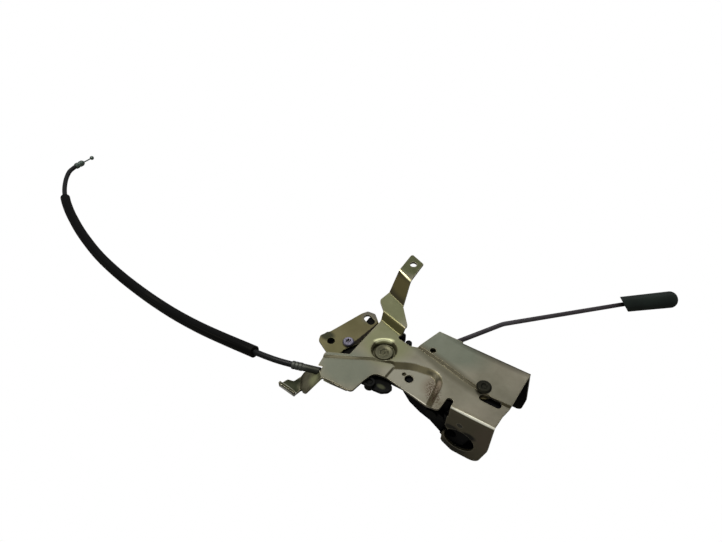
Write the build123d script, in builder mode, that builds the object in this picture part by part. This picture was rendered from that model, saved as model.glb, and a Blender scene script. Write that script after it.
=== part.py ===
"""Sliding door lock: a folded steel bracket that carries a latch, two levers, a cable and a lock rod.

Frame: the origin is the fixing hole in the bracket's front pad, on the pad's top face. +X runs along
the bracket's front bend, +Y to its rear flange and +Z up out of its top plate. Millimetres.
"""
import os
from math import asin, cos, degrees, pi, radians, sin, tan

from build123d import *

os.makedirs("parts", exist_ok=True)

# Sheet and levels of the main bracket, all as heights of a top face
SHEET = 2.0
PAD_TOP = 0.0
LEFT_TOP = 0.8
DECK_TOP = 2.5
BACK_TOP = 4.3
SEAT_TOP = -2.0
ARM_TOP = 8.5
TAB_TOP = 24.5
FLOOR = -53.5
BEND_OUT = 3.2
BEND_IN = 1.4
FORM_TAPER = 42.0
PAD_TAPER = 66.0

# Holes of the main bracket
FIXING_BORE = 7.0
TAB_BORE = 5.8
TAB_HOLE = (-44.6, 88.2)
WITNESS_BORE = 5.0
WITNESS_HOLE = (4.7, 30.6)
SLOT_CENTRE = (61.2, 12.0)
SLOT_LENGTH = 17.6
SLOT_WIDTH = 5.5
SLOT_TURN = -1.0
NOTCH_WIDTH = 5.6
NOTCH_TOP = (35.4, -0.4)
NOTCH_RUN = 14.0

# Flanges: the front one holds the round mouth, the rear one is plain
FRONT_FACE = -8.3
REAR_FACE = 50.7
REAR_DROP = 45.3
REAR_START = 21.5
REAR_END = 78.2
MOUTH = (49.5, -34.0)
MOUTH_RADIUS = 12.5

# Pivots, in plan
PIVOT = (-29.1, 12.5)
LOCK_PIVOT = (REAR_END - 25.8, 20.0)
PIN_PLAY = 0.05
RUN_GAP = 0.3
SPRING_PITCH = 1.12
COIL_SIDES = 8
COIL_SHARE = 0.49

# Big pivot rivet and the drawn cup that it sits in
RIVET_SHANK = 4.0
RIVET_HEAD = 7.5
RIVET_HEAD_HIGH = 1.6
SEAT_RADIUS = 8.6
SEAT_DRAFT = 0.25
SEAT_WALL = 0.8
SEAT_LIP = 1.1
WASHER_RADIUS = 6.8
WASHER_THICK = 0.5

# Second plate, behind the pivot
PLATE_TOP = -7.5
PLATE_STEP = 4.4
PLATE_SLOT = (-58.7, 39.7)
PLATE_SLOT_TURN = -26.0
PLATE_HOLE = (-74.3, 4.4)
PLATE_BORE = 6.6
SCREW = (-61.2, 10.4)
SCREW_HEAD = 4.7
SCREW_SHANK = 2.4

# Release lever: turns on the big rivet and pulls the cable and the pawl link
LEVER_THROW = 16.0
LEVER_TOP = -4.8
LEVER_THICK = 3.0
WIRE_LEVEL = -3.2
FERRULE_END = (-62.2, -27.2)
CABLE_ANGLE = 15.8
FERRULE_LENGTH = 24.2
FERRULE_RADIUS = 3.3
LINER_RADIUS = 2.1
LINER_OUT = 2.4
NIPPLE_RADIUS = 1.8
CLEVIS_RADIUS = 4.2
CLEVIS_TOP = -1.6
LINK_ARM = 12.4
LINK_THICK = 2.0
LINK_TOP = -8.2

# Cable
WIRE_RADIUS = 0.75
SHEATH_RADIUS = 2.5
SLEEVE_RADIUS = 5.0
SLEEVE_BORE = 2.8
BALL_RADIUS = 2.4
FITTING_RADIUS = 3.4
FITTING_LENGTH = 11.5

# Latch, between the front flange and the case
LATCH_PLAY = 0.5
LATCH_THICK = 5.0
CLAW_PIVOT = (48.0, -14.0)
CLAW_THROW = 39.5
CLAW_RIM = 14.0
CLAW_PIN = 4.0
STRIKER_SLOT = 11.0
PAWL_PIVOT = (24.0, -19.7)
PAWL_PIN = 3.0
NOSE_DROP = 7.0
NOSE_RADIUS = 2.2
LINK_END_GAP = 0.8

# Case
CASE_GAP = 0.4
CASE_DEEP = 13.4
COVER_THICK = 1.5

# Lock lever and rod
LOCK_TOP = 0.0
LOCK_THICK = 2.0
LOCK_SHANK = 3.0
ROD_RADIUS = 2.0
ROD_EYE = (3.5, 38.0)
ROD_LEVEL = -5.0
ROD_BEND = (37.4, 103.9, -19.2)
KNOB_START = (119.7, 206.8, -45.5)
KNOB_ANGLE = 38.7
KNOB_LENGTH = 54.0
KNOB_RADIUS = 8.0
KNOB_CUT = 33.0

# Route of the cable, from inside the ferrule down to the surface that the lock stands over
CABLE_ROUTE = [
    (-76.0, -31.1, -3.2),
    (-92.6, -35.7, -3.4),
    (-111.7, -37.2, -5.8),
    (-130.2, -36.6, -9.6),
    (-153.5, -35.2, -15.7),
    (-185.6, -32.4, -24.7),
    (-223.3, -27.4, -34.5),
    (-264.0, -20.7, -42.5),
    (-311.0, -12.4, -47.3),
    (-356.7, -2.3, -48.4),
    (-401.3, 13.3, -48.5),
    (-433.8, 28.2, -48.4),
    (-453.0, 38.8, -48.6),
    (-468.5, 49.2, -49.4),
    (-482.6, 61.2, -50.6),
    (-493.6, 73.4, -50.9),
    (-500.6, 85.6, -50.9),
    (-498.9, 97.5, -50.9),
]
SLEEVED = range(3, 13)
RUN_SHARE = 0.45


def save(piece, label):
    """Label a finished piece and write it as the node of that name."""
    piece.part.label = label
    export_step(piece.part, f"parts/{label}.step")


def along(start, angle, distance):
    """The plan point a distance from start, in a direction given in degrees."""
    return (start[0] + distance * cos(radians(angle)), start[1] + distance * sin(radians(angle)))


def level(height):
    """A horizontal plane at a height."""
    return Plane.XY.offset(height)


def upright(depth):
    """A vertical plane across Y at a depth, with X to the right and Z up, facing -Y."""
    return Plane(origin=(0, depth, 0), x_dir=(1, 0, 0), z_dir=(0, -1, 0))


def fold_plane(origin, angle):
    """The upright plane in which a fold is drawn: its x runs across the bend line, its y up."""
    bend = (cos(radians(angle)), sin(radians(angle)), 0)
    across = (-sin(radians(angle)), cos(radians(angle)), 0)
    return Plane(origin=(origin[0], origin[1], 0), x_dir=across, z_dir=bend)


def mid(a, b):
    """The point halfway between two points."""
    return tuple((p + q) / 2 for p, q in zip(a, b))


def arc_radii(points, share=RUN_SHARE):
    """The largest tangent arc at each corner of a route that its two runs leave room for."""
    radii = []
    for before, corner, after in zip(points, points[1:], points[2:]):
        run_in = Vector(*corner) - Vector(*before)
        run_out = Vector(*after) - Vector(*corner)
        half_turn = radians(run_in.get_angle(run_out)) / 2
        radii.append(share * min(run_in.length, run_out.length) / tan(half_turn))
    return radii


def torsion_spring(centre, axis, radius, wire, turns, leg):
    """A torsion spring about an axis, starting at its centre point, with a straight leg at each end."""
    step = 360 / COIL_SIDES
    corner = radius / cos(radians(step / 2))
    rise = wire * SPRING_PITCH / COIL_SIDES
    coil = [(*along((0, 0), k * step, corner), k * rise) for k in range(round(turns * COIL_SIDES) + 1)]
    start_way = (Vector(*coil[0]) - Vector(*coil[1])).normalized()
    end_way = (Vector(*coil[-1]) - Vector(*coil[-2])).normalized()
    start = Vector(*coil[0]) + start_way * leg
    end = Vector(*coil[-1]) + end_way * leg
    points = [(start.X, start.Y, start.Z), *coil[1:-1], (end.X, end.Y, end.Z)]
    with BuildPart() as spring:
        with BuildLine():
            path = FilletPolyline(*points, radius=arc_radii(points, COIL_SHARE))
        with BuildSketch(Plane(origin=path @ 0, z_dir=path % 0)):
            Circle(wire / 2)
        sweep(path=path)
    spring.part.move(Plane(origin=centre, x_dir=(1, 0, 0), z_dir=axis).location)
    return spring


def turned_pin(at, steps):
    """A pin turned about Y from (depth, radius) steps, each reaching to the next one's depth."""
    with BuildPart() as pin:
        for (start, radius), (end, rest) in zip(steps, steps[1:]):
            with BuildSketch(upright(start)):
                with Locations(at):
                    Circle(radius)
            extrude(amount=start - end)
    return pin


# Main bracket: one pressed sheet. The deck is a formed field, cut back by itself one sheet lower
PAD_LINE = [((-21.7, -30), 0), ((27.5, -30), 0), ((24.6, 17.9), 13), ((-3.4, 13.5), 30), ((-19.4, 5.4), 5),
            ((-20.8, -8), 8)]
LEFT_LINE = [((-90, -50), 0), ((-12, -50), 0), ((-10, 2), 4), ((-16.7, 6.9), 5), ((-33.6, 1.3), 30),
             ((-46.7, -5.8), 30), ((-65.3, -15.2), 15), ((-90, -28), 0)]
BACK_LINE = [(-20, 30.2), (14.2, 23.9), (33.3, 19.3), (51.3, 15.7), (61, 13.2), (90, 14.4),
             (90, 70), (-20, 70)]
FORM_DEEP = 20.0
ON_BASE = (Align.CENTER, Align.CENTER, Align.MIN)
FORM_SPAN = 400.0


def deck_form(drop, margin):
    """The pressed top surface as a thick solid: its top is the sheet's, lowered by drop."""
    with BuildPart() as form:
        with BuildSketch(level(DECK_TOP - drop)):
            Rectangle(FORM_SPAN + margin, FORM_SPAN + margin)
        extrude(amount=-FORM_DEEP)
        # The back portion stands a little higher
        with BuildSketch(level(DECK_TOP - drop)):
            with BuildLine():
                Polyline(*BACK_LINE, close=True)
            make_face()
        extrude(amount=BACK_TOP - DECK_TOP, taper=FORM_TAPER)
        # The lower left plate and the pad beside it, each pressed down with sloped walls
        for outline, top, taper in ((LEFT_LINE, LEFT_TOP, FORM_TAPER), (PAD_LINE, PAD_TOP, PAD_TAPER)):
            with BuildSketch(level(top - drop)):
                with BuildLine():
                    FilletPolyline(*[p for p, r in outline], radius=[r for p, r in outline], close=True)
                make_face()
                offset(amount=-(DECK_TOP - top) * tan(radians(taper)), kind=Kind.INTERSECTION)
            extrude(amount=1.2 * (DECK_TOP - top), taper=-taper, mode=Mode.SUBTRACT)
        # The big rivet's cup is drawn down through both levels and has a flared lip
        cup_deep = DECK_TOP - SEAT_LIP - SEAT_TOP
        cup_floor = SEAT_RADIUS + SEAT_WALL * drop
        cup_neck = cup_floor + SEAT_DRAFT * cup_deep
        with Locations((*PIVOT, SEAT_TOP - drop)):
            Cone(cup_floor, cup_neck, cup_deep, align=ON_BASE, mode=Mode.SUBTRACT)
        with Locations((*PIVOT, SEAT_TOP + cup_deep - drop)):
            Cone(cup_neck, cup_neck + 2 * SEAT_LIP, 2 * SEAT_LIP, align=ON_BASE, mode=Mode.SUBTRACT)
    return form


# Plan of the flat deck. Bent portions start a little inside it
DECK_PLAN = [
    ((0.7, 50.4), 0.8), ((REAR_START, 50.4), 0), ((REAR_START, REAR_FACE - 4.5), 0),
    ((REAR_END - 0.2, REAR_FACE - 4.5), 0), ((REAR_END - 0.6, 40.0), 3), ((REAR_END - 1.9, 15.5), 3),
    ((REAR_END - 4.3, 5.6), 3), ((REAR_END - 5.2, FRONT_FACE + 4.5), 0), ((38.3, FRONT_FACE + 4.5), 0),
    ((32.6, FRONT_FACE + 4.5), 0), ((31.6, -14.9), 3.6), ((24.0, -14.5), 8), ((-2.4, -9.9), 20),
    ((-14.4, -8.1), 2.5), ((-25.6, -9.6), 7), ((-28.9, -20.0), 6), ((-31.6, -32.8), 3.4),
    ((-47.0, -32.4), 4), ((-57.6, -33.8), 2.5), ((-66.0, -26.6), 3), ((-67.6, -13.2), 2.5),
    ((-50.0, -5.2), 1.5), ((-46.2, 33.8), 2), ((-46.0, 35.5), 0), ((-26.0, 29.9), 0),
    ((-24.3, 28.2), 1.5), ((-13.4, 26.3), 3), ((-7.0, 28.4), 1.5),
]

deck_low = deck_form(SHEET, 10.0)
deck_high = deck_form(0.0, 0.0)
with BuildPart() as deck:
    add(deck_high.part)
    add(deck_low.part, mode=Mode.SUBTRACT)
    with BuildSketch(level(-FORM_DEEP / 2)):
        with BuildLine():
            FilletPolyline(*[p for p, r in DECK_PLAN], radius=[r for p, r in DECK_PLAN], close=True)
        make_face()
    extrude(amount=FORM_DEEP, mode=Mode.INTERSECT)


def folded(plane, points, radii, half_width):
    """A strip of sheet folded along a profile of its top face, centred on the plane."""
    with BuildPart() as strip:
        with BuildSketch(plane):
            with BuildLine():
                FilletPolyline(*points, radius=radii)
                offset(amount=SHEET, side=Side.RIGHT)
            make_face()
        extrude(amount=half_width, both=True)
    return strip


def trimmed(strip, plane, points, radii, reach):
    """The strip, cut to an outline drawn on a plane and reaching both ways from it."""
    with BuildPart() as piece:
        add(strip.part)
        with BuildSketch(plane):
            with BuildLine():
                FilletPolyline(*points, radius=radii, close=True)
            make_face()
        extrude(amount=reach, both=True, mode=Mode.INTERSECT)
    return piece


# Front flange, bent down along X, with the round mouth open to the left
front_fold = folded(
    fold_plane((56, 0), 0),
    [(-1.0, DECK_TOP), (FRONT_FACE, DECK_TOP), (FRONT_FACE, FLOOR)][::-1], [BEND_OUT], 30)
front_flange = trimmed(
    front_fold, upright(FRONT_FACE),
    [(38.3, 12), (REAR_END - 5.2, 12), (72.4, -30.0), (66.6, FLOOR), (45.4, FLOOR), (35.4, -46.6),
     (35.2, -34.4), (MOUTH[0] - 9.5, MOUTH[1] + 6.2), (36.6, -22.6)],
    [0, 0, 6, 9, 5, 5, 1.0, 0, 1.0], 20)

# Rear flange, bent down along X
rear_fold = folded(
    fold_plane(((REAR_START + REAR_END) / 2, 0), 0),
    [(REAR_FACE - 6, BACK_TOP), (REAR_FACE, BACK_TOP), (REAR_FACE, -REAR_DROP)], [BEND_OUT],
    (REAR_END - REAR_START) / 2 + 6)
rear_flange = trimmed(
    rear_fold, upright(REAR_FACE),
    [(REAR_START, 12), (REAR_END, 12), (REAR_END, 0), (REAR_END + 3.2, -30),
     (REAR_END + 1.5, -REAR_DROP), (REAR_START + 6, -REAR_DROP), (REAR_START, -REAR_DROP + 12)],
    [0, 0, 2, 6, 5, 4, 6], 20)

# Arm: a steep step, a second flat, a slope and the end tab
ARM_PLAN = [
    ((-26.2, 29.0), 0), ((-23.7, 33.9), 2), ((-22.9, 39.2), 2.5), ((-35.6, 55.2), 4),
    ((-37.7, 70.0), 5), ((-37.6, 98.1), 2.2), ((-51.4, 98.1), 2.2), ((-51.7, 77.1), 5),
    ((-53.0, 63.0), 4), ((-55.6, 51.2), 4), ((-47.2, 42.8), 3), ((-45.9, 34.4), 0),
]
STEP_FOLD = fold_plane((-35.4, 35.0), -15.7)
SLOPE_FOLD = fold_plane((-44.1, 59.0), -22.0)
arm_step = folded(
    STEP_FOLD, [(-8, DECK_TOP), (0, DECK_TOP), (3.6, ARM_TOP), (21, ARM_TOP)], [BEND_IN, BEND_OUT], 25)
arm_slope = folded(
    SLOPE_FOLD, [(-9, ARM_TOP), (0, ARM_TOP), (13.4, TAB_TOP), (34, TAB_TOP)],
    [BEND_IN, BEND_OUT], 25)
arm_root = trimmed(
    arm_step, level(0), [p for p, r in ARM_PLAN], [r for p, r in ARM_PLAN], 40)
arm_top = trimmed(
    arm_slope, level(0), [p for p, r in ARM_PLAN], [r for p, r in ARM_PLAN], 40)

# Tail: slopes down from the left corner past the ferrule to a small hooked foot
FOOT_TOP = -21.5
TAIL_CORNER = (-80.4, -26.6)
TAIL_FOLD = fold_plane((-61.5, -29.5), 121.0)
tail_fold = folded(
    TAIL_FOLD, [(-7, LEFT_TOP), (0, LEFT_TOP), (17, FOOT_TOP), (36, FOOT_TOP)],
    [BEND_OUT, BEND_IN], 16)
tail = trimmed(
    tail_fold, level(0),
    [(-55.0, -31.0), (-56.6, -33.8), (-66.9, -43.2), (-71.1, -41.7), (-74.2, -39.4), (-75.9, -46.2),
     (-91.9, -44.4), (-89.0, -37.4), (-83.8, -36.3), TAIL_CORNER, (-64.4, -25.0), (-60.0, -22.0)],
    [0, 1.5, 2.0, 1.0, 1.0, 0.6, 0.6, 1.5, 2, 1.5, 2, 0], 60)
with BuildPart() as tail_lip:
    with BuildSketch(Plane(origin=(-83.9, -45.3, FOOT_TOP), x_dir=(16.0, -1.8, 0), z_dir=(0, 0, 1))):
        Rectangle(16.1, SHEET)
    extrude(amount=3.4)
    extrude(faces().sort_by(Axis.Z)[0], amount=SHEET)

# Short flange under the lower left plate's front edge, dying out towards the arc
with BuildPart() as left_flange:
    with BuildSketch(upright(-33.0)):
        with BuildLine():
            Polyline((-56.6, LEFT_TOP - SHEET / 2), (-56.6, -4.2), (-50.0, -4.0), (-36.0, -2.0),
                     (-34.4, LEFT_TOP - SHEET / 2), close=True)
        make_face()
    extrude(amount=-SHEET)

FERRULE_LEFT = along(FERRULE_END, 180 + CABLE_ANGLE, FERRULE_LENGTH)
FERRULE_PLANE = Plane(
    origin=(FERRULE_LEFT[0], FERRULE_LEFT[1], WIRE_LEVEL),
    x_dir=(-sin(radians(CABLE_ANGLE)), cos(radians(CABLE_ANGLE)), 0),
    z_dir=(cos(radians(CABLE_ANGLE)), sin(radians(CABLE_ANGLE)), 0))
CLAW_PIN_TIP = 2.5
DENT = (-5.3, 1.9)
DENT_RADIUS = 1.7
SEAT_OPEN = 1.4

with BuildPart() as main_bracket:
    for section in (deck, front_flange, rear_flange, arm_root, arm_top, tail, tail_lip, left_flange):
        add(section.part)
    # Round holes from above: fixing, tab, witness, both rivets and the cable's hole in the corner
    with BuildSketch(level(40)):
        with Locations((0, 0)):
            Circle(FIXING_BORE / 2)
        with Locations(TAB_HOLE):
            Circle(TAB_BORE / 2)
        with Locations(WITNESS_HOLE):
            Circle(WITNESS_BORE / 2)
        with Locations(PIVOT):
            Circle(RIVET_SHANK + PIN_PLAY)
        with Locations(LOCK_PIVOT):
            Circle(LOCK_SHANK + PIN_PLAY)
        with Locations(Location(SLOT_CENTRE, SLOT_TURN)):
            SlotOverall(SLOT_LENGTH, SLOT_WIDTH)
        with Locations(Location((NOTCH_TOP[0], NOTCH_TOP[1] - NOTCH_RUN / 2), 90)):
            SlotOverall(NOTCH_RUN, NOTCH_WIDTH)
    extrude(amount=-50, mode=Mode.SUBTRACT)
    # Small dent beside the fixing hole
    with Locations((*DENT, PAD_TOP)):
        Sphere(DENT_RADIUS, mode=Mode.SUBTRACT)
    # The ferrule's seat in the tail, open at the top, and the mouth of the front flange
    with BuildSketch(FERRULE_PLANE):
        Circle(FERRULE_RADIUS + PIN_PLAY)
        with Locations((0, SEAT_OPEN)):
            Circle(FERRULE_RADIUS + PIN_PLAY)
    extrude(amount=FERRULE_LENGTH + RUN_GAP, mode=Mode.SUBTRACT)
    with BuildSketch(FERRULE_PLANE):
        Circle(LINER_RADIUS + RUN_GAP)
    extrude(amount=FERRULE_LENGTH + LINER_OUT + RUN_GAP, mode=Mode.SUBTRACT)
    with BuildSketch(upright(0)):
        with Locations(MOUTH):
            Circle(MOUTH_RADIUS)
        with Locations(CLAW_PIVOT):
            Circle(CLAW_PIN_TIP + PIN_PLAY)
    extrude(amount=12, mode=Mode.SUBTRACT)
save(main_bracket, "main_bracket")

# Second plate: flat behind the pivot, stepped down where it passes under the bracket to the rivet
PLATE_RAISED = [(-67.7, 42.5), (-64.5, 47.0), (-57.9, 47.7), (-50.1, 41.0), (-53.4, 14.0), (-60.4, 1.6),
                (-58.6, -6.4), (-69.0, -8.5), (-84.0, -0.4), (-86.0, 5.0), (-80.5, 13.5)]
PLATE_PLAN = [
    ((-67.5, 43.2), 3), ((-64.4, 47.9), 4), ((-58.0, 48.3), 4.5), ((-46.6, 37.2), 5), ((-20, 24.0), 6),
    ((-15.0, 8.0), 8), ((-20.0, -0.6), 6), ((-43.0, -0.6), 4), ((-53.0, 14.4), 2), ((-60.9, 1.6), 2),
    ((-59.0, -6.6), 2), ((-69.0, -8.0), 2), ((-83.3, -0.2), 3), ((-85.0, 4.8), 3),
    ((-79.8, 13.0), 8),
]
PLATE_LOW = PLATE_TOP - PLATE_STEP


def plate_form(drop, margin):
    """The second plate's pressed top surface as a thick solid, lowered by drop."""
    with BuildPart() as form:
        with BuildSketch(level(PLATE_LOW - drop)):
            Rectangle(FORM_SPAN + margin, FORM_SPAN + margin)
        extrude(amount=-FORM_DEEP)
        with BuildSketch(level(PLATE_LOW - drop)):
            with BuildLine():
                Polyline(*PLATE_RAISED, close=True)
            make_face()
            offset(amount=PLATE_STEP * tan(radians(FORM_TAPER)))
        extrude(amount=PLATE_STEP, taper=FORM_TAPER)
    return form


plate_low = plate_form(SHEET, 10.0)
plate_high = plate_form(0.0, 0.0)
with BuildPart() as back_plate:
    add(plate_high.part)
    add(plate_low.part, mode=Mode.SUBTRACT)
    with BuildSketch(level(PLATE_LOW - FORM_DEEP / 2)):
        with BuildLine():
            FilletPolyline(*[p for p, r in PLATE_PLAN], radius=[r for p, r in PLATE_PLAN], close=True)
        make_face()
    extrude(amount=FORM_DEEP, mode=Mode.INTERSECT)
    with BuildSketch(level(0)):
        with Locations(PIVOT):
            Circle(RIVET_SHANK + PIN_PLAY)
        with Locations(PLATE_HOLE):
            Circle(PLATE_BORE / 2)
        with Locations(SCREW):
            Circle(SCREW_SHANK + PIN_PLAY)
        with Locations(Location(PLATE_SLOT, PLATE_SLOT_TURN)):
            SlotOverall(11.5, 6.6)
    extrude(amount=-30, mode=Mode.SUBTRACT)
save(back_plate, "back_plate")

# Big pivot rivet: a flat head with a rounded rim, a ring and an upset centre, and a formed lower head
PLATE_UNDER = PLATE_LOW - SHEET
HEAD_TOP = SEAT_TOP + RIVET_HEAD_HIGH
with BuildPart() as pivot_rivet:
    with BuildSketch(Plane.XZ):
        with BuildLine():
            Polyline((0, PLATE_UNDER - 2.2), (5.4, PLATE_UNDER - 2.2), (6.4, PLATE_UNDER - 1.2),
                     (6.4, PLATE_UNDER), (RIVET_SHANK, PLATE_UNDER), (RIVET_SHANK, SEAT_TOP),
                     (RIVET_HEAD, SEAT_TOP), (RIVET_HEAD, HEAD_TOP - 0.6), (RIVET_HEAD - 0.6, HEAD_TOP),
                     (6.2, HEAD_TOP), (4.0, HEAD_TOP - 0.5), (3.6, HEAD_TOP - 0.2), (3.1, HEAD_TOP - 0.2),
                     (2.6, HEAD_TOP - 0.8), (1.2, HEAD_TOP - 0.8), (0.8, HEAD_TOP - 0.5),
                     (0, HEAD_TOP - 0.5), close=True)
        make_face()
    revolve(axis=Axis.Z)
pivot_rivet.part.move(Location((*PIVOT, 0)))
save(pivot_rivet, "pivot_rivet")

# Washer between the cup and the lever
with BuildPart() as pivot_washer:
    with BuildSketch(level(SEAT_TOP - SHEET)):
        with Locations(PIVOT):
            Circle(WASHER_RADIUS)
            Circle(RIVET_SHANK + PIN_PLAY, mode=Mode.SUBTRACT)
    extrude(amount=-WASHER_THICK)
save(pivot_washer, "pivot_washer")

# Release lever: hub, front arm with the clevis for the cable nipple, rear arm with two prongs
HALF_THROW = radians(LEVER_THROW / 2)
to_line = Vector(PIVOT[0] - FERRULE_END[0], PIVOT[1] - FERRULE_END[1])
cable_way = Vector(1, 0).rotate(Axis.Z, CABLE_ANGLE)
NIPPLE_ARM = abs(to_line.cross(cable_way).Z)
NIPPLE_AT = to_line.dot(cable_way) - NIPPLE_ARM * tan(HALF_THROW)
NIPPLE = along(FERRULE_END, CABLE_ANGLE, NIPPLE_AT)
LINK_PIN = (PIVOT[0] - LINK_ARM * tan(HALF_THROW), PIVOT[1] - LINK_ARM)
PRONGS = [(-24.7, 35.4), (-16.9, 31.2)]
PRONG_RADIUS = 2.7
PRONG_TOP = -0.9
LEVER_UNDER = LEVER_TOP - LEVER_THICK
CLEVIS_SLOT = 2.8
LINK_PIN_RADIUS = 1.5
SWING_HALF = 1.5
HUB_RADIUS = 6.0
LEVER_FRONT = [
    ((PIVOT[0] - 9.0, PIVOT[1]), 0), ((NIPPLE[0] - 8.4, NIPPLE[1] - 2.0), 3),
    ((NIPPLE[0] + 1.8, NIPPLE[1] - 0.8), 1), ((NIPPLE[0] + 4.2, NIPPLE[1] - 2.5), 1),
    ((NIPPLE[0] + 11.2, NIPPLE[1] - 1.8), 3), ((NIPPLE[0] + 15.6, NIPPLE[1] + 1.4), 3),
    ((NIPPLE[0] + 17.0, NIPPLE[1] + 5.8), 2), ((PIVOT[0] + 10.1, PIVOT[1] - 13.5), 6),
    ((PIVOT[0] + 9.2, PIVOT[1]), 0),
]
with BuildPart() as release_lever:
    with BuildSketch(level(LEVER_UNDER)):
        with Locations(PIVOT):
            Circle(9.6)
        with Locations(NIPPLE):
            Circle(CLEVIS_RADIUS)
        with BuildLine():
            FilletPolyline(
                *[p for p, r in LEVER_FRONT], radius=[r for p, r in LEVER_FRONT], close=True)
        make_face()
        with BuildLine():
            Polyline((PIVOT[0] - 7.5, PIVOT[1] + 3), (PIVOT[0] + 8.5, PIVOT[1] + 2),
                     (PRONGS[1][0] + 2.0, PRONGS[1][1] - 1), (PRONGS[1][0] - 1, PRONGS[1][1] + 2),
                     (PRONGS[0][0] + 2.0, PRONGS[0][1] - 3.5), (PRONGS[0][0] + 0.6, PRONGS[0][1] + 1.8),
                     (PRONGS[0][0] - 2.4, PRONGS[0][1]), close=True)
        make_face()
        with Locations(*PRONGS):
            Circle(PRONG_RADIUS)
    extrude(amount=LEVER_THICK)
    # Posts at the prongs' ends
    with BuildSketch(level(LEVER_UNDER)):
        with Locations(*PRONGS):
            Circle(PRONG_RADIUS)
    extrude(amount=PRONG_TOP - LEVER_UNDER)
    fillet(faces().group_by(Axis.Z)[-1].edges(), 0.8)
    # Hub down to the second plate
    with BuildSketch(level(PLATE_LOW + RUN_GAP)):
        with Locations(PIVOT):
            Circle(HUB_RADIUS)
    extrude(amount=LEVER_UNDER - PLATE_LOW - RUN_GAP)
    # Clevis, with a bore for the nipple and a wedge open at the top for the wire's swing
    with BuildSketch(level(LEVER_UNDER)):
        with Locations(NIPPLE):
            Circle(CLEVIS_RADIUS)
    extrude(amount=CLEVIS_TOP - LEVER_UNDER)
    # Pin that carries the pawl link
    with BuildSketch(level(LEVER_UNDER)):
        with Locations(LINK_PIN):
            Circle(LINK_PIN_RADIUS)
    extrude(amount=LINK_TOP - LINK_THICK - RUN_GAP - LEVER_UNDER)
    with BuildSketch(level(LINK_TOP - LINK_THICK - RUN_GAP)):
        with Locations(LINK_PIN):
            Circle(LINK_PIN_RADIUS + 1.0)
    extrude(amount=-0.8)
    # Bore of the hub, and the nipple's bore with a cut for the wire's swing
    with BuildSketch(level(10)):
        with Locations(PIVOT):
            Circle(RIVET_SHANK + PIN_PLAY)
    extrude(amount=-40, mode=Mode.SUBTRACT)
    with BuildSketch(level(0)):
        with Locations(NIPPLE):
            Circle(NIPPLE_RADIUS + 0.6)
    extrude(amount=-20, mode=Mode.SUBTRACT)
    swing_plane = Plane(
        origin=(NIPPLE[0], NIPPLE[1], WIRE_LEVEL - CLEVIS_SLOT / 2),
        x_dir=(*along((0, 0), 180 + CABLE_ANGLE - LEVER_THROW / 2, 1.0), 0), z_dir=(0, 0, 1))
    swing_reach = CLEVIS_RADIUS + 6
    swing_side = SWING_HALF + swing_reach * tan(HALF_THROW)
    with BuildSketch(swing_plane):
        with BuildLine():
            Polyline((-2, -SWING_HALF), (swing_reach, -swing_side), (swing_reach, swing_side),
                     (-2, SWING_HALF), close=True)
        make_face()
    extrude(amount=2 * CLEVIS_SLOT, mode=Mode.SUBTRACT)
save(release_lever, "release_lever")

# Return spring of the release lever: a coil on the hub with two short legs
release_spring = torsion_spring((*PIVOT, PLATE_LOW + RUN_GAP + 0.6), (0, 0, 1), 7.4, 1.2, 1.25, 1.0)
save(release_spring, "release_spring")

# Pawl link: a flat bar on the lever's pin, with a rounded end that meets the pawl's tail
LATCH_BACK = FRONT_FACE + SHEET + LATCH_PLAY + LATCH_THICK
LATCH_MID = LATCH_BACK - LATCH_THICK / 2
TAIL_HALF = 2.5
LINK_END = PAWL_PIVOT[0] - TAIL_HALF - LINK_END_GAP
with BuildPart() as release_link:
    with BuildSketch(level(LINK_TOP)):
        with Locations(LINK_PIN):
            Circle(3.2)
        with BuildLine():
            FilletPolyline(
                (LINK_PIN[0], LATCH_MID - LATCH_THICK / 2), (LINK_END, LATCH_MID - LATCH_THICK / 2),
                (LINK_END, LATCH_MID + LATCH_THICK / 2), (LINK_PIN[0], LATCH_MID + LATCH_THICK / 2),
                radius=[0, 1.2, 1.2, 0], close=True)
        make_face()
        with Locations(Location(LINK_PIN, 90)):
            SlotOverall(2 * (LINK_PIN_RADIUS + PIN_PLAY) + 0.7, 2 * (LINK_PIN_RADIUS + PIN_PLAY),
                        mode=Mode.SUBTRACT)
    extrude(amount=-LINK_THICK)
    link_nose = edges().filter_by(Axis.Y).sort_by(Axis.X)[-2:]
    fillet(link_nose, LINK_THICK * 0.45)
save(release_link, "release_link")

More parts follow.
